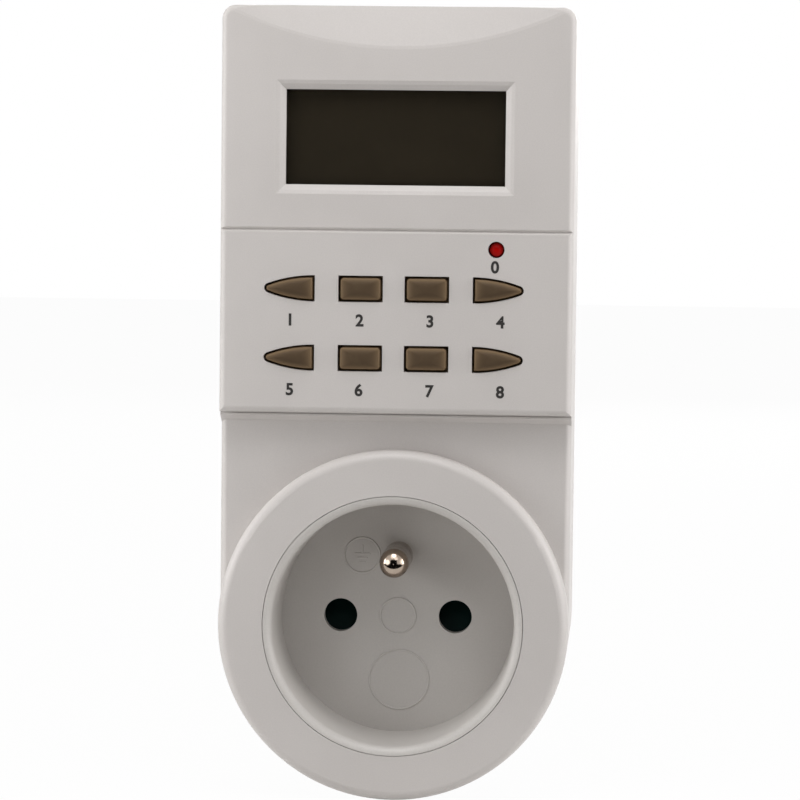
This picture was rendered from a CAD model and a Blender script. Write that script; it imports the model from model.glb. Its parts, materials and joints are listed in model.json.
import json
import math

import bmesh
import bpy
from mathutils import Matrix, Vector


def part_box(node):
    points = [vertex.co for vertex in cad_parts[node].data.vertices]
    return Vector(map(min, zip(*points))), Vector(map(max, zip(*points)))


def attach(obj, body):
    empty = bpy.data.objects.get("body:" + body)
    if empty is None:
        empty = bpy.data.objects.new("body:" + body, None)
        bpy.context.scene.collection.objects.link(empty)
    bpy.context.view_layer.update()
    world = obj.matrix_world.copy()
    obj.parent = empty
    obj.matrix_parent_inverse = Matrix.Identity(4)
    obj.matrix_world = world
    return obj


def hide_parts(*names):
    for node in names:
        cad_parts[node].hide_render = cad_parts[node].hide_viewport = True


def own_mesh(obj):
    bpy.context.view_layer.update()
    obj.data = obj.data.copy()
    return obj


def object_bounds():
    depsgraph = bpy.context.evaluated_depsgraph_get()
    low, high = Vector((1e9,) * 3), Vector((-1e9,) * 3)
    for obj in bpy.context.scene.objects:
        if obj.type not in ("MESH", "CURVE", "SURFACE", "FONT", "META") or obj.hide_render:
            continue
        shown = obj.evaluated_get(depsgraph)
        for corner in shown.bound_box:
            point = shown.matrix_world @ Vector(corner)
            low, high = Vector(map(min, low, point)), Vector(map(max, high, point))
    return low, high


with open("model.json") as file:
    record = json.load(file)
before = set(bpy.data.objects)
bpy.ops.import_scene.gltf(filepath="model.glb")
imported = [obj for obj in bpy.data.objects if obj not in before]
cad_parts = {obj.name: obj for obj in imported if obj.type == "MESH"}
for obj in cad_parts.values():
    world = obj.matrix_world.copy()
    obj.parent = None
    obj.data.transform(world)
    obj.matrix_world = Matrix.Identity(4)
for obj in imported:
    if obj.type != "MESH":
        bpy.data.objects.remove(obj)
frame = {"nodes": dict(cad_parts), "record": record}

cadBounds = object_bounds()
nodes = frame["nodes"]
scene = bpy.context.scene
mm = 0.001
pureWhite = (1.0, 1.0, 1.0, 1.0)
print("frame loaded,", len(nodes), "nodes")

# from the screen's colours to linear ones: a straight foot, then a power
toneCurve = {"full": 255, "foot": 0.04045, "slope": 12.92, "shift": 0.055, "power": 2.4}


def tone(red, green, blue):
    # each part from 0 to 255
    shift, power = toneCurve["shift"], toneCurve["power"]
    linear = []
    for part in (red, green, blue):
        share = part / toneCurve["full"]
        if share < toneCurve["foot"]:
            linear.append(share / toneCurve["slope"])
        else:
            linear.append(((share + shift) / (1 + shift)) ** power)
    return (*linear, 1.0)


class Wire:
    # a node's output that takes part in plain arithmetic
    def __init__(self, finish, output):
        self.finish = finish
        self.output = output

    def math(self, operation, first, second=0.0):
        return self.finish.node("ShaderNodeMath", {"operation": operation}, {0: first, 1: second})

    def __add__(self, other):
        return self.math("ADD", self, other)

    def __radd__(self, other):
        return self.math("ADD", other, self)

    def __sub__(self, other):
        return self.math("SUBTRACT", self, other)

    def __rsub__(self, other):
        return self.math("SUBTRACT", other, self)

    def __mul__(self, other):
        return self.math("MULTIPLY", self, other)

    def __rmul__(self, other):
        return self.math("MULTIPLY", other, self)

    def __lt__(self, other):
        return self.math("LESS_THAN", self, other)

    def __abs__(self):
        return self.math("ABSOLUTE", self)

    def sway(self, amount):
        # a value from 0 to 1 turned into one that goes as far below nought as above it
        return (self - 0.5) * amount


class NodeSet:
    # the nodes of a material or of the world
    def __init__(self, tree):
        self.tree = tree

    def node(self, kind, settings, inputs, output=0):
        made = self.tree.nodes.new(kind)
        for key, value in settings.items():
            setattr(made, key, value)
        for key, value in inputs.items():
            if isinstance(value, Wire):
                self.tree.links.new(value.output, made.inputs[key])
            else:
                made.inputs[key].default_value = value
        return Wire(self, made.outputs[output])

    def greater(self, one, other):
        return self.node("ShaderNodeMath", {"operation": "MAXIMUM"}, {0: one, 1: other})

    def seen(self):
        # 1 for what the camera sees, straight, in gloss or through glass, and 0 for light on things
        straight, gloss, through = [self.node("ShaderNodeLightPath", {}, {}, f"Is {ray} Ray")
                                    for ray in ("Camera", "Glossy", "Transmission")]
        return self.greater(self.greater(straight, gloss), through)


class Finish(NodeSet):
    # one material with the nodes that make it
    def __init__(self, name, **settings):
        self.material = bpy.data.materials.new(name)
        self.material.use_nodes = True
        super().__init__(self.material.node_tree)
        self.shader = self.tree.nodes["Principled BSDF"]
        for socket, value in settings.items():
            self.shader.inputs[socket.replace("_", " ")].default_value = value

    def spot(self):
        return self.node("ShaderNodeTexCoord", {}, {}, "Object")

    def axes(self):
        spot = self.spot()
        return [self.node("ShaderNodeSeparateXYZ", {}, {0: spot}, axis) for axis in range(3)]

    def noise(self, size, detail=2.0, roughness=0.5, spot=None):
        # its grains are about size metres across
        return self.node("ShaderNodeTexNoise", {}, {"Vector": spot or self.spot(), "Scale": 1 / size,
                                                    "Detail": detail, "Roughness": roughness})

    def cells(self, size):
        return self.node("ShaderNodeTexVoronoi", {}, {"Vector": self.spot(), "Scale": 1 / size})

    def stretched(self, across, deep, up):
        return self.node("ShaderNodeMapping", {}, {"Vector": self.spot(), "Scale": (across, deep, up)})

    def mix(self, share, one, other, blend="MIX"):
        # a Mix node's colours are its inputs 6 and 7, and their mixture is its output 2
        settings = {"data_type": "RGBA", "blend_type": blend}
        return self.node("ShaderNodeMix", settings, {0: share, 6: one, 7: other}, 2)

    def step(self, value, low, high):
        # 0 below low, 1 above high and smooth between them
        return self.node("ShaderNodeMapRange", {"interpolation_type": "SMOOTHSTEP"},
                         {0: value, 1: low, 2: high, 3: 0.0, 4: 1.0})

    def stripes(self, value, pitch):
        # from 0 to 1 and back once in each pitch
        wave = self.node("ShaderNodeMath", {"operation": "SINE"}, {0: value * (math.tau / pitch)})
        return wave * 0.5 + 0.5

    def colourWith(self, colour):
        self.tree.links.new(colour.output, self.shader.inputs["Base Color"])

    def lay(self, colour, roughness, height, depth, strength):
        self.colourWith(colour)
        self.tree.links.new(roughness.output, self.shader.inputs["Roughness"])
        bump = self.node("ShaderNodeBump", {}, {"Height": height, "Distance": depth, "Strength": strength})
        self.tree.links.new(bump.output, self.shader.inputs["Normal"])
        return self.material


finishes = {}

# moulded plastics

mould = {"cloudSize": 0.018, "cloudStep": (0.35, 0.65), "cloudRough": 0.08,
         "grainRise": 0.6, "grainStep": (0.2, 0.8), "grainRough": 0.12, "fleck": 0.06, "plain": 0.97,
         "scuffWays": (260, 900, 1400), "scuffStep": (0.71, 0.78), "scuffRough": 0.06,
         "lineStep": (0.04, 0.16), "lineDark": 0.45, "lineDeep": 0.12}


def satinPlastic(name, look, **settings):
    # the fine grain of a sparked mould, faint clouding, a few fine scuffs and, where given, the dark joint
    # line where two mouldings meet and a slight crown
    finish = Finish(name, **settings)
    cloud = finish.noise(mould["cloudSize"], detail=3.0)
    grain = finish.noise(look["grain"], detail=2.0, roughness=0.6)
    scratches = finish.noise(1.0, detail=1.0, spot=finish.stretched(*mould["scuffWays"]))
    scuff = finish.step(scratches, *mould["scuffStep"])
    tint = finish.mix(finish.step(cloud, *mould["cloudStep"]), tone(*look["colour"]), tone(*look["cloud"]))
    fleck = finish.step(grain, *mould["grainStep"]) * mould["fleck"] + mould["plain"]
    height = grain * (look["relief"] / mm) * mould["grainRise"]
    if "joint" in look:
        near, far = mould["lineStep"]
        line = finish.step(abs(finish.axes()[1] + look["joint"] * mm), near * mm, far * mm)
        fleck = fleck * (line * mould["lineDark"] + (1 - mould["lineDark"]))
        height = height + line * mould["lineDeep"]
    colour = finish.mix(1.0, tint, fleck, "MULTIPLY")
    rough = grain.sway(mould["grainRough"]) + cloud.sway(mould["cloudRough"]) - scuff * mould["scuffRough"]
    rough = rough + look["roughness"]
    if "crown" in look:
        start, fall = look["crown"]
        past = finish.greater(abs(finish.axes()[0]) - start, 0.0)
        height = height - past * past * (fall / mm)
    finishes[name] = finish.lay(colour, rough, height, mm, 1.0)


housingPlastic = {"colour": (202, 197, 194), "cloud": (199, 194, 191), "grain": 0.00022, "relief": 0.000006,
                  "roughness": 0.44, "crown": (0.016, 7.0), "joint": 27.5}
insertPlastic = {"colour": (201, 197, 193), "cloud": (198, 194, 190), "grain": 0.0003, "relief": 0.000005,
                 "roughness": 0.4}
shutterPlastic = {"colour": (6, 28, 26), "cloud": (4, 18, 17), "grain": 0.0003, "relief": 0.000004,
                  "roughness": 0.35}
innerPlastic = {"colour": (38, 38, 39), "cloud": (31, 31, 33), "grain": 0.00025, "relief": 0.000006,
                "roughness": 0.5}
relayPlastic = {"colour": (34, 60, 110), "cloud": (28, 50, 98), "grain": 0.0004, "relief": 0.000004,
                "roughness": 0.3}
resetPlastic = {"colour": (200, 20, 16), "cloud": (182, 12, 10), "grain": 0.00018, "relief": 0.000003,
                "roughness": 0.25}
satinPlastic("housing_plastic", housingPlastic, Specular_IOR_Level=0.4)
satinPlastic("insert_plastic", insertPlastic, Specular_IOR_Level=0.4)
satinPlastic("shutter_plastic", shutterPlastic, Specular_IOR_Level=0.06)
satinPlastic("inner_plastic", innerPlastic)
satinPlastic("relay_case", relayPlastic)
satinPlastic("reset_plastic", resetPlastic)

# display

glassLook = {"colour": (52, 46, 36), "rim": (40, 36, 29), "cell": (46, 41, 32), "shine": 0.05,
             "rimAcross": (0.72, 0.97), "rimUp": (0.6, 0.95), "rimShare": 0.6,
             "cloudSize": 0.012, "cloudStep": (0.35, 0.7), "cloudShare": 0.5,
             "grain": 0.00035, "grainRough": 0.04, "roughness": 0.3, "relief": 0.000001, "strength": 0.1}


def displayGlass():
    # a blank segment panel whose film darkens towards its rim
    look = glassLook
    finish = Finish("display_glass", Specular_IOR_Level=look["shine"])
    across, up = finish.axes()[::2]
    low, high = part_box("display_glass")
    middle, half = (low + high) / 2, (high - low) / 2
    rimAcross = finish.step(abs(across - middle.x), *[half.x * share for share in look["rimAcross"]])
    rimUp = finish.step(abs(up - middle.z), *[half.z * share for share in look["rimUp"]])
    rim = finish.greater(rimAcross, rimUp)
    cloud = finish.step(finish.noise(look["cloudSize"]), *look["cloudStep"])
    film = finish.mix(cloud * look["cloudShare"], tone(*look["colour"]), tone(*look["cell"]))
    colour = finish.mix(rim * look["rimShare"], film, tone(*look["rim"]))
    grain = finish.noise(look["grain"], detail=1.0)
    rough = grain.sway(look["grainRough"]) + look["roughness"]
    finishes["display_glass"] = finish.lay(colour, rough, grain, look["relief"], look["strength"])


displayGlass()

windowLook = {"colour": (46, 42, 35), "dust": (80, 76, 68), "alpha": 0.14, "bending": 1.49,
              "dustSize": 0.0007, "dustStep": (0.68, 0.8), "dustShare": 0.25, "dustRough": 0.1,
              "hazeSize": 0.009, "hazeRough": 0.05, "roughness": 0.05, "relief": 0.000004, "strength": 0.2}


def clearWindow():
    # a clear pane with a little haze and dust
    look = windowLook
    finish = Finish("window_plastic", Alpha=look["alpha"], IOR=look["bending"])
    haze = finish.noise(look["hazeSize"], detail=3.0)
    dust = finish.step(finish.noise(look["dustSize"]), *look["dustStep"])
    colour = finish.mix(dust * look["dustShare"], tone(*look["colour"]), tone(*look["dust"]))
    rough = haze * look["hazeRough"] + dust * look["dustRough"] + look["roughness"]
    finishes["window_plastic"] = finish.lay(colour, rough, haze, look["relief"], look["strength"])


clearWindow()

# metals

metalSkin = {"lineRough": 0.16, "tarnishSize": 0.004, "tarnishStep": (0.35, 0.75), "tarnishRough": 0.1,
             "relief": 0.000004, "strength": 0.5}


def metal(name, look):
    # drawn or turned metal: fine lines along one way, and a slight tarnish
    skin = metalSkin
    finish = Finish(name, Metallic=1.0)
    lines = finish.noise(1.0, detail=2.0, roughness=0.6, spot=finish.stretched(*look["lines"]))
    share = finish.step(finish.noise(skin["tarnishSize"], detail=4.0, roughness=0.6), *skin["tarnishStep"])
    colour = finish.mix(share, tone(*look["colour"]), tone(*look["tarnish"]))
    rough = lines.sway(skin["lineRough"]) + share * skin["tarnishRough"] + look["roughness"]
    finishes[name] = finish.lay(colour, rough, lines, skin["relief"], skin["strength"])


nickelPlate = {"colour": (172, 157, 143), "tarnish": (142, 126, 112), "lines": (1500, 120, 1500),
               "roughness": 0.12}
contactBrass = {"colour": (216, 178, 96), "tarnish": (188, 146, 74), "lines": (300, 2200, 300),
                "roughness": 0.3}
springSteel = {"colour": (176, 176, 178), "tarnish": (140, 140, 144), "lines": (4000, 4000, 800),
               "roughness": 0.28}
screwSteel = {"colour": (190, 190, 186), "tarnish": (160, 158, 150), "lines": (900, 900, 900),
              "roughness": 0.34}
canMetal = {"colour": (196, 198, 202), "tarnish": (172, 175, 180), "lines": (2500, 2500, 150),
            "roughness": 0.26}
yokeIron = {"colour": (150, 148, 146), "tarnish": (120, 112, 104), "lines": (200, 1800, 1800),
            "roughness": 0.42}
metal("nickel_plate", nickelPlate)
metal("contact_brass", contactBrass)
metal("spring_steel", springSteel)
metal("screw_steel", screwSteel)
metal("can_metal", canMetal)
metal("yoke_iron", yokeIron)

# boards and what stands on them

boardLook = {"mask": (24, 84, 48), "track": (60, 128, 66), "coat": 0.3,
             "pitch": 0.0016, "trackStep": (0.62, 0.7), "bendSize": 0.006, "bend": 0.008,
             "stopSize": 0.008, "stopStep": (0.46, 0.5),
             "speckSize": 0.0003, "speckRise": 0.2, "speckRough": 0.1,
             "roughness": 0.32, "relief": 0.00003, "strength": 0.5}


def laminate():
    # solder mask over copper tracks that bend and stop
    look = boardLook
    finish = Finish("board_laminate", Coat_Weight=look["coat"])
    across = finish.axes()[0]
    bend = finish.noise(look["bendSize"], detail=1.0).sway(look["bend"])
    tracks = finish.step(finish.stripes(across + bend, look["pitch"]), *look["trackStep"])
    copper = tracks * finish.step(finish.noise(look["stopSize"], detail=0.0), *look["stopStep"])
    speck = finish.noise(look["speckSize"])
    colour = finish.mix(copper, tone(*look["mask"]), tone(*look["track"]))
    rough = speck.sway(look["speckRough"]) + look["roughness"]
    height = copper + speck * look["speckRise"]
    finishes["board_laminate"] = finish.lay(colour, rough, height, look["relief"], look["strength"])


laminate()

coatSkin = {"detail": 3.0, "mixing": 0.55, "skinStep": (0.35, 0.7), "skinRough": 0.2,
            "speckSize": 0.4, "speckRise": 0.1, "relief": 0.00002, "strength": 0.5}


def coated(name, look, **settings):
    # a dipped or moulded coating with a slightly uneven skin
    coat = coatSkin
    finish = Finish(name, **settings)
    skin = finish.noise(look["size"], detail=coat["detail"], roughness=coat["mixing"])
    speck = finish.cells(look["size"] * coat["speckSize"])
    colour = finish.mix(finish.step(skin, *coat["skinStep"]), tone(*look["colour"]), tone(*look["other"]))
    rough = skin.sway(coat["skinRough"]) + look["roughness"]
    height = skin + speck * coat["speckRise"]
    finishes[name] = finish.lay(colour, rough, height, coat["relief"], coat["strength"])


resinLook = {"colour": (26, 26, 27), "other": (36, 35, 34), "size": 0.001, "roughness": 0.42}
darkLook = {"colour": (30, 30, 32), "other": (42, 41, 42), "size": 0.0012, "roughness": 0.4}
discLook = {"colour": (42, 78, 150), "other": (34, 64, 130), "size": 0.0015, "roughness": 0.32}
resistorLook = {"colour": (118, 168, 176), "other": (100, 150, 160), "size": 0.0014, "roughness": 0.4}
filmLook = {"colour": (196, 160, 60), "other": (182, 146, 50), "size": 0.002, "roughness": 0.38}
stripLook = {"colour": (196, 150, 146), "other": (60, 54, 54), "size": 0.0003, "roughness": 0.6}
matLook = {"colour": (96, 82, 64), "other": (86, 72, 56), "size": 0.002, "roughness": 0.6}
coated("resin", resinLook)
coated("key_rubber", matLook)
coated("component_dark", darkLook)
coated("disc_coating", discLook, Coat_Weight=0.2)
coated("resistor_coating", resistorLook)
coated("film_case", filmLook)
coated("display_rubber", stripLook)

coilLook = {"colour": (188, 96, 48), "tarnish": (156, 74, 38), "metal": 0.8, "pitch": 0.00022,
            "tarnishSize": 0.002, "tarnishStep": (0.3, 0.7), "turnRough": 0.1, "roughness": 0.3,
            "relief": 0.00004, "strength": 0.8}


def copperCoil():
    # enamelled wire wound side by side up the bobbin
    look = coilLook
    finish = Finish("coil_copper", Metallic=look["metal"])
    turns = finish.stripes(finish.axes()[2], look["pitch"])
    share = finish.step(finish.noise(look["tarnishSize"], detail=3.0), *look["tarnishStep"])
    colour = finish.mix(share, tone(*look["colour"]), tone(*look["tarnish"]))
    rough = turns * look["turnRough"] + look["roughness"]
    finishes["coil_copper"] = finish.lay(colour, rough, turns, look["relief"], look["strength"])


copperCoil()

ribbonLook = {"colour": (176, 174, 170), "edge": (176, 40, 36), "pitch": 0.00127, "speckSize": 0.0004,
              "speckRough": 0.1, "roughness": 0.5, "relief": 0.0003, "strength": 0.7}


def ribbonPvc():
    # parallel cores, with the edge core marked
    look = ribbonLook
    finish = Finish("cable_pvc")
    across = finish.axes()[0]
    cores = finish.stripes(across, look["pitch"])
    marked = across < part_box("ribbon_cable")[0].x + look["pitch"]
    colour = finish.mix(marked, tone(*look["colour"]), tone(*look["edge"]))
    rough = finish.noise(look["speckSize"]).sway(look["speckRough"]) + look["roughness"]
    finishes["cable_pvc"] = finish.lay(colour, rough, cores, look["relief"], look["strength"])


ribbonPvc()
print("finishes made,", len(finishes))

slotOf = {part["node"]: part["material_slot"] for part in frame["record"]["subparts"]}
for name, piece in nodes.items():
    piece.data.materials.clear()
    piece.data.materials.append(finishes[slotOf[name]])
print("finishes laid on the nodes")

# for every new piece: how near points are one point, and how many degrees apart faces are one face, or have
# a sharp edge between them

making = {"near": 1e-6, "nearest": 1e-7, "flat": 0.5, "sharp": 35}


def nodeCopy(name):
    # a node's triangles as one closed mesh
    build = bmesh.new()
    build.from_mesh(nodes[name].data)
    bmesh.ops.remove_doubles(build, verts=build.verts, dist=making["near"])
    return build


def nodeFaces(name):
    # the same with its flat faces whole
    build = nodeCopy(name)
    flat = math.radians(making["flat"])
    bmesh.ops.dissolve_limit(build, angle_limit=flat, verts=build.verts, edges=build.edges)
    return build


def meshObject(name, build, material):
    data = bpy.data.meshes.new(name)
    build.to_mesh(data)
    build.free()
    data.materials.append(material)
    made = bpy.data.objects.new(name, data)
    scene.collection.objects.link(made)
    return made


def pieceFrom(name, build, material, body):
    made = meshObject(name, build, material)
    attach(made, body)
    return made


def shadeRound(made):
    made.data.shade_smooth()
    made.data.set_sharp_from_angle(angle=math.radians(making["sharp"]))


def insetFace(build, face, wide, high):
    bmesh.ops.inset_region(build, faces=[face], use_boundary=True, use_even_offset=True,
                           thickness=wide, depth=high)


def evaluatedMesh(made):
    bpy.context.view_layer.update()
    return bpy.data.meshes.new_from_object(made.evaluated_get(bpy.context.evaluated_depsgraph_get()))


# rubber keys and the reset button

capLook = {"key": {"colour": (80, 65, 49), "rim": (122, 101, 76), "worn": (90, 75, 57), "grain": 0.00016,
                   "relief": 0.000007, "roughness": 0.58, "shine": 0.12},
           "button": {"colour": (192, 9, 5), "rim": (204, 20, 13), "worn": (182, 8, 5), "grain": 0.0002,
                      "relief": 0.000003, "roughness": 0.25, "shine": 0.2}}
capWear = {"rimEnd": 0.6, "faceStart": 0.1, "patchSize": 0.0025, "patchStep": (0.45, 0.75), "share": 0.4,
           "grainRough": 0.1, "polish": 0.08}
capShape = {"key": {"base": 48.9, "slim": 0.09, "front": 50.3, "rim": 0.4, "turn": 70, "crown": 0.34,
                    "rings": (0.86, 0.7, 0.52, 0.33, 0.14)},
            "button": {"base": 48.0, "slim": 0.02, "front": 48.8, "rim": 0.25, "turn": 66, "crown": 0.24,
                       "rings": (0.8, 0.55, 0.3, 0.12)}}
capMaking = {"rimSteps": 6, "swell": 2.6}


def capRubber(name, kind):
    # thinner and lighter at the rolled rim, and polished by fingers in patches
    look, shape, wear = capLook[kind], capShape[kind], capWear
    finish = Finish(name + "_skin", Specular_IOR_Level=look["shine"])
    depth = 0 - finish.axes()[1]
    grain = finish.noise(look["grain"], detail=2.0, roughness=0.6)
    face = finish.step(depth, (shape["front"] - shape["crown"] - shape["rim"] * wear["rimEnd"]) * mm,
                       (shape["front"] - shape["crown"] * wear["faceStart"]) * mm)
    worn = finish.step(depth, (shape["front"] - shape["crown"]) * mm, shape["front"] * mm)
    worn = worn * finish.step(finish.noise(wear["patchSize"], detail=3.0, roughness=0.6), *wear["patchStep"])
    colour = finish.mix(face, tone(*look["rim"]), tone(*look["colour"]))
    colour = finish.mix(worn * wear["share"], colour, tone(*look["worn"]))
    rough = grain.sway(wear["grainRough"]) - worn * wear["polish"] + look["roughness"]
    return finish.lay(colour, rough, grain * (look["relief"] / mm), mm, 1.0)


def cushionCap(name, kind):
    # the solid as far as its opening, then a slightly slimmer wall, a rolled rim and a crowned face
    shape, steps, swell = capShape[kind], capMaking["rimSteps"], capMaking["swell"]
    turns = [math.radians(shape["turn"]) * count / steps for count in range(steps + 1)]
    shoulder = shape["front"] - shape["crown"] - shape["rim"] * math.sin(turns[-1])
    build = nodeFaces(name)
    everything = build.verts[:] + build.edges[:] + build.faces[:]
    bmesh.ops.bisect_plane(build, geom=everything, dist=making["nearest"], plane_no=(0, -1, 0),
                           plane_co=(0, -shape["base"] * mm, 0), clear_outer=True)
    edges = [edge for edge in build.edges if edge.is_boundary]
    face = bmesh.ops.edgeloop_fill(build, edges=edges)["faces"][0]
    if face.normal.y > 0:
        face.normal_flip()
    insetFace(build, face, shape["slim"] * mm, 0.0)
    face = bmesh.ops.extrude_discrete_faces(build, faces=[face])["faces"][0]
    bmesh.ops.translate(build, vec=(0, (shape["base"] - shoulder) * mm, 0), verts=face.verts)
    for before, after in zip(turns, turns[1:]):
        insetFace(build, face, shape["rim"] * (math.cos(before) - math.cos(after)) * mm,
                  shape["rim"] * (math.sin(after) - math.sin(before)) * mm)
    middle, reach = face.calc_center_median_weighted(), 1.0
    for share in shape["rings"]:
        face = bmesh.ops.extrude_discrete_faces(build, faces=[face])["faces"][0]
        bmesh.ops.scale(build, vec=(share / reach, 1, share / reach), space=Matrix.Translation(-middle),
                        verts=face.verts)
        rise = shape["crown"] * (reach ** swell - share ** swell) * mm
        bmesh.ops.translate(build, vec=(0, -rise, 0), verts=face.verts)
        reach = share
    bmesh.ops.poke(build, faces=[face], offset=0.0)
    made = pieceFrom(name + "_cushion", build, capRubber(name, kind), name)
    shadeRound(made)
    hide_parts(name)


for name in slotOf:
    if name.endswith("_key"):
        cushionCap(name, "key")
cushionCap("reset_button", "button")
print("keys cushioned")

# screws with domed heads and cross recesses: the dome's steps go inwards and up, in shares of the head's
# radius and rise, and a head is a square-on face about as large as the largest

screwShape = {"dome": ((0.05, 0.0), (0.05, 0.45), (0.07, 0.3), (0.11, 0.25), (0.03, 0.0)), "rise": 0.16,
              "reach": 0.58, "arm": 0.14, "deep": 0.34, "draft": 0.55, "clear": 0.05,
              "square": 0.9, "alike": 0.9}


def crossCutter(build, middle, out, radius):
    # a square bar with an arm pulled from each side, which narrows into the head
    reach, arm, deep = [screwShape[size] * radius for size in ("reach", "arm", "deep")]
    clear, draft = screwShape["clear"] * mm, screwShape["draft"]
    bar = bmesh.ops.create_cube(build, size=1.0)["verts"]
    first = middle + out * (clear - deep) / 2
    stretch = Matrix.Diagonal((arm * 2, deep + clear, arm * 2, 1.0))
    bmesh.ops.transform(build, matrix=Matrix.Translation(first) @ stretch, verts=bar)
    build.normal_update()
    sides = [face for face in build.faces
             if abs(face.normal.y) < screwShape["square"] and set(face.verts) <= set(bar)]
    for side in sides:
        away = side.normal.copy()
        end = bmesh.ops.extrude_discrete_faces(build, faces=[side])["faces"][0]
        bmesh.ops.translate(build, vec=away * (reach - arm), verts=end.verts)
    foot = [vert for vert in build.verts
            if (vert.co - middle).length < radius and (vert.co - middle).dot(out) < 0]
    bmesh.ops.scale(build, vec=(draft, 1, draft), space=Matrix.Translation(-middle), verts=foot)


def cutAway(build, cutter):
    # the first mesh less the second
    whole, tool = [bpy.data.objects.new(word, bpy.data.meshes.new(word)) for word in ("whole", "tool")]
    for bench, mesh in ((whole, build), (tool, cutter)):
        scene.collection.objects.link(bench)
        mesh.to_mesh(bench.data)
        mesh.free()
    cut = whole.modifiers.new("cut", "BOOLEAN")
    cut.operation = "DIFFERENCE"
    cut.object = tool
    result = bmesh.new()
    result.from_mesh(evaluatedMesh(whole))
    for bench in (whole, tool):
        bpy.data.objects.remove(bench)
    bmesh.ops.remove_doubles(result, verts=result.verts, dist=making["nearest"])
    return result


def crossScrews(name):
    build, cutter = nodeFaces(name), bmesh.new()
    ends = [face for face in build.faces if abs(face.normal.y) > screwShape["square"]]
    largest = max(face.calc_area() for face in ends)
    radius = math.sqrt(largest / math.pi)
    rise = screwShape["rise"] * radius
    for face in [end for end in ends if end.calc_area() > largest * screwShape["alike"]]:
        middle, out = face.calc_center_median(), face.normal.copy()
        bmesh.ops.translate(build, vec=-out * rise, verts=face.verts)
        for wide, high in screwShape["dome"]:
            insetFace(build, face, wide * radius, high * rise)
        crossCutter(cutter, middle, out, radius)
    bmesh.ops.recalc_face_normals(cutter, faces=cutter.faces)
    made = pieceFrom(name + "_crossed", cutAway(build, cutter), finishes[slotOf[name]], "case")
    # the node's own stored normals don't fit the new faces
    stored = made.data.attributes.get("custom_normal")
    if stored:
        made.data.attributes.remove(stored)
    shadeRound(made)
    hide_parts(name)


for name in slotOf:
    if name.endswith("_screws"):
        crossScrews(name)
print("screws cut")

# the shutter's spring shortens as the shutter slides down onto it

springMotion = {"node": "shutter_spring", "joint": "shutter_slide", "travel": 5.6}


def squeezedSpring(name):
    made = pieceFrom(name + "_coil", nodeCopy(name), finishes[slotOf[name]], "case")
    shadeRound(made)
    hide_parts(name)
    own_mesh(made)


squeezedSpring(springMotion["node"])
print("spring wound")

# printed numbers under the keys

inkLook = {"colour": (44, 41, 40), "thin": (66, 62, 60), "grain": 0.00025, "thinStep": (0.5, 0.9),
           "grainRough": 0.1, "roughness": 0.5, "relief": 0.000003, "strength": 0.4}
numbers = {"height": 1.85, "ofSize": 0.7, "round": 6, "thick": 0.02, "face": 49.5, "bold": 0.085,
           "slot": "housing_plastic",
           "places": {"1": (-17.05, 49.45), "2": (-5.8, 49.45), "3": (5.57, 49.45), "4": (16.93, 49.45),
                      "5": (-17.02, 38.2), "6": (-5.85, 38.2), "7": (5.55, 38.2), "8": (16.99, 38.2),
                      "0": (15.93, 58.3)}}


def labelInk():
    # dark ink that is thinner in spots
    look = inkLook
    finish = Finish("label_ink")
    grain = finish.noise(look["grain"])
    colour = finish.mix(finish.step(grain, *look["thinStep"]), tone(*look["colour"]), tone(*look["thin"]))
    rough = grain.sway(look["grainRough"]) + look["roughness"]
    return finish.lay(colour, rough, grain, look["relief"], look["strength"])


def printedNumber(digit, across, up):
    # a figure is ofSize of its font's size, and its curves have round steps
    curve = bpy.data.curves.new("number", "FONT")
    curve.body = digit
    curve.size = numbers["height"] * mm / numbers["ofSize"]
    curve.align_x = "CENTER"
    curve.align_y = "CENTER"
    curve.extrude = numbers["thick"] * mm / 2
    curve.offset = numbers["bold"] * mm
    curve.resolution_u = numbers["round"]
    text = bpy.data.objects.new("number", curve)
    scene.collection.objects.link(text)
    build = bmesh.new()
    build.from_mesh(evaluatedMesh(text))
    bpy.data.objects.remove(text)
    bmesh.ops.remove_doubles(build, verts=build.verts, dist=making["nearest"])
    place = Matrix.Translation((across * mm, -(numbers["face"] + numbers["thick"] / 2) * mm, up * mm))
    upright = Matrix.Rotation(math.radians(90), 4, "X")
    bmesh.ops.transform(build, matrix=place @ upright, verts=build.verts)
    bmesh.ops.recalc_face_normals(build, faces=build.faces)
    pieceFrom("number_" + digit, build, ink, "case")


ink = labelInk()
for digit, (across, up) in numbers["places"].items():
    printedNumber(digit, across, up)
print("numbers printed")

# raised marks on the recess floor

marks = {"floor": 34.5, "high": 0.16, "sunk": 0.05, "shoulder": 0.1, "rib": 0.34, "steps": 64,
         "slot": "insert_plastic",
         "rings": {"earth_mark_ring": (-6.0, 10.0, 3.1), "middle_ring": (0.0, 0.0, 3.1),
                   "lower_ring": (0.3, -10.6, 5.1)}}


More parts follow.
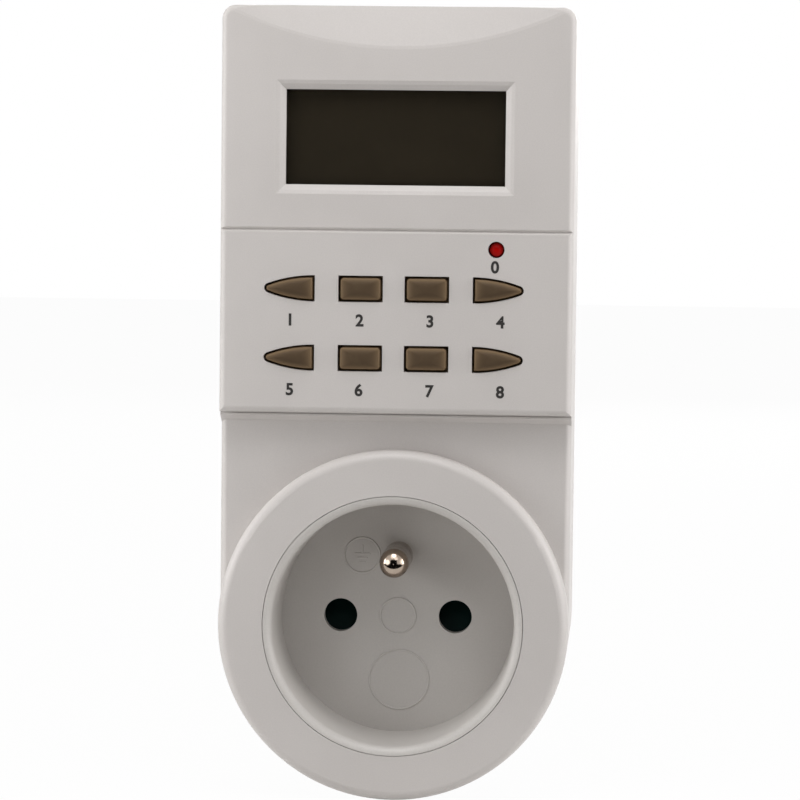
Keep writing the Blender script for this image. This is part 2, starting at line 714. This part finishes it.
def ringMark(name, across, up, radius):
    # a low rib spun about the ring's middle from its cross-section
    build = bmesh.new()
    inner, outer = (radius - marks["rib"]) * mm, radius * mm
    low, high, shoulder = [marks[size] * mm for size in ("sunk", "high", "shoulder")]
    section = [(inner, -low), (inner, high - shoulder), (inner + shoulder, high), (outer - shoulder, high),
               (outer, high - shoulder), (outer, -low)]
    corners = [build.verts.new((reach, -lift, 0)) for reach, lift in section]
    edges = [build.edges.new(pair) for pair in zip(corners, corners[1:] + corners[:1])]
    bmesh.ops.spin(build, geom=corners + edges, cent=(0, 0, 0), axis=(0, 1, 0), angle=math.tau,
                   steps=marks["steps"], use_merge=True)
    bmesh.ops.remove_doubles(build, verts=build.verts, dist=making["nearest"])
    bmesh.ops.recalc_face_normals(build, faces=build.faces)
    bmesh.ops.translate(build, verts=build.verts, vec=(across * mm, -marks["floor"] * mm, up * mm))
    made = pieceFrom(name, build, finishes[marks["slot"]], "case")
    made.data.shade_smooth()


# each bar's height above the middle and its length, from the longest to the shortest
earthSign = {"middle": (-6.0, 10.0), "bars": ((0.25, 2.6), (-0.45, 1.8), (-1.15, 1.0)), "stem": 1.45,
             "width": 0.28, "sunk": 0.06, "edge": 0.03, "edgeSteps": 2}


def earthMark():
    # the plain sign for protective earth: a stem over three shorter and shorter bars
    build = bmesh.new()
    across, up = earthSign["middle"]
    blocks = [(lift, wide, earthSign["width"]) for lift, wide in earthSign["bars"]]
    foot = earthSign["bars"][0][0]
    blocks.append((foot + earthSign["stem"] / 2, earthSign["width"], earthSign["stem"]))
    depth, thick = marks["floor"] + marks["high"] / 4, marks["high"] / 2 + earthSign["sunk"]
    for lift, wide, tall in blocks:
        made = bmesh.ops.create_cube(build, size=1.0)
        place = Matrix.Translation((across * mm, -depth * mm, (up + lift) * mm))
        size = Matrix.Diagonal((wide * mm, thick * mm, tall * mm, 1.0))
        bmesh.ops.transform(build, matrix=place @ size, verts=made["verts"])
    bmesh.ops.bevel(build, geom=build.edges[:], offset=earthSign["edge"] * mm, profile=0.5,
                    segments=earthSign["edgeSteps"], affect="EDGES", material=-1)
    pieceFrom("earth_sign", build, finishes[marks["slot"]], "case")


for name, (across, up, radius) in marks["rings"].items():
    ringMark(name, across, up, radius)
earthMark()
print("floor marks made")

# floor, backdrop, camera and lights

setting = {"floor": (224, 223, 221), "speck": (220, 219, 217), "speckSize": 0.004, "speckStep": (0.3, 0.7),
           "roughness": 0.9, "size": 2.0, "world": 0.05, "white": 0.97}
# the camera's side of the room is unlit, which shows in gloss alone
darkSide = {"cloth": (26, 24, 23), "fold": (20, 19, 18), "foldSize": 0.05, "foldStep": (0.3, 0.7),
            "foldRough": 0.1, "roughness": 0.85, "relief": 0.0005, "strength": 0.2,
            "half": 0.5, "near": 0.09, "far": 1.0, "top": 0.62, "lift": 0.002}
lens = {"focal": 173.8, "sensor": 36.0, "place": (0.03965, -0.66992, 0.07707),
        "yaw": 3.576, "pitch": -3.705, "roll": -0.645}
# each lamp's place, width and power
lamps = {"key_lamp": ((-0.09, -0.47, 0.66), 0.44, 0.6), "front_lamp": ((0.3, -0.75, 0.7), 0.5, 0.88),
         "near_lamp": ((-0.19, -0.2, 0.05), 0.16, 0.14), "far_lamp": ((0.2, -0.11, 0.05), 0.16, 0.06),
         "top_lamp": ((0, -0.16, 0.3), 0.16, 0.38), "side_lamp": ((-0.85, -0.08, 0.15), 0.6, 4.4),
         "right_lamp": ((0.85, -0.08, 0.15), 0.6, 4.8), "back_lamp": ((0.15, 0.8, 0.4), 0.7, 3.6)}


def studioFloor():
    # white paper to the camera, which still takes the object's shadow
    finish = Finish("studio_paper", Roughness=setting["roughness"])
    share = finish.step(finish.noise(setting["speckSize"]), *setting["speckStep"])
    finish.colourWith(finish.mix(share, tone(*setting["floor"]), tone(*setting["speck"])))
    glow = finish.node("ShaderNodeEmission", {}, {"Color": pureWhite, "Strength": 1.0})
    lit = Wire(finish, finish.shader.outputs[0])
    mixed = finish.node("ShaderNodeMixShader", {}, {0: finish.seen() * setting["white"], 1: lit, 2: glow})
    ends = finish.tree.nodes["Material Output"]
    finish.tree.links.new(mixed.output, ends.inputs["Surface"])
    build = bmesh.new()
    bmesh.ops.create_grid(build, x_segments=1, y_segments=1, size=setting["size"])
    bmesh.ops.translate(build, verts=build.verts, vec=(0, 0, cadBounds[0].z))
    meshObject("studio_floor", build, finish.material)


def cameraSide():
    # a cloth that runs towards the camera just over the floor, and then stands up
    finish = Finish("studio_dark", Specular_IOR_Level=0.0)
    folds = finish.noise(darkSide["foldSize"])
    share = finish.step(folds, *darkSide["foldStep"])
    colour = finish.mix(share, tone(*darkSide["cloth"]), tone(*darkSide["fold"]))
    rough = folds * darkSide["foldRough"] + darkSide["roughness"]
    material = finish.lay(colour, rough, folds, darkSide["relief"], darkSide["strength"])
    half, low = darkSide["half"], cadBounds[0].z + darkSide["lift"]
    build = bmesh.new()
    edge = build.edges.new([build.verts.new((side, -darkSide["near"], low)) for side in (-half, half)])
    for step in ((0, darkSide["near"] - darkSide["far"], 0), (0, 0, darkSide["top"] - low)):
        made = bmesh.ops.extrude_edge_only(build, edges=[edge])["geom"]
        ends = [item for item in made if isinstance(item, bmesh.types.BMVert)]
        bmesh.ops.translate(build, verts=ends, vec=step)
        edge = build.edges.get(ends)
    cloth = meshObject("studio_dark", build, material)
    for kind in ("camera", "diffuse", "transmission", "volume_scatter", "shadow"):
        setattr(cloth, "visible_" + kind, False)


def surroundings():
    # an even grey room that shows as white behind the object, in its gloss and through its glass
    world = bpy.data.worlds.new("studio_room")
    world.use_nodes = True
    scene.world = world
    room = NodeSet(world.node_tree)
    strength = room.seen() * (1.0 - setting["world"]) + setting["world"]
    back = room.tree.nodes["Background"]
    back.inputs["Color"].default_value = pureWhite
    room.tree.links.new(strength.output, back.inputs["Strength"])


def photoCamera():
    data = bpy.data.cameras.new("photo_camera")
    data.lens = lens["focal"]
    data.sensor_width = lens["sensor"]
    camera = bpy.data.objects.new("photo_camera", data)
    scene.collection.objects.link(camera)
    turn = Matrix.Rotation(math.radians(lens["yaw"]), 4, "Z")
    tip = Matrix.Rotation(math.radians(lens["pitch"]), 4, "X")
    roll = Matrix.Rotation(math.radians(lens["roll"]), 4, "Y")
    upright = Matrix.Rotation(math.radians(90), 4, "X")
    camera.matrix_world = Matrix.Translation(lens["place"]) @ turn @ tip @ roll @ upright
    scene.camera = camera


def softLamp(name, place, size, power):
    # a round lamp that faces the object's middle
    data = bpy.data.lights.new(name, "AREA")
    data.shape = "DISK"
    data.size = size
    data.energy = power
    lamp = bpy.data.objects.new(name, data)
    scene.collection.objects.link(lamp)
    lamp.visible_camera = False
    middle = (cadBounds[0] + cadBounds[1]) / 2
    lamp.location = place
    lamp.rotation_euler = (middle - Vector(place)).to_track_quat("-Z", "Y").to_euler()


studioFloor()
cameraSide()
surroundings()
photoCamera()
for name, (place, size, power) in lamps.items():
    softLamp(name, place, size, power)
scene.view_settings.view_transform = "Standard"
print("camera and lamps set")
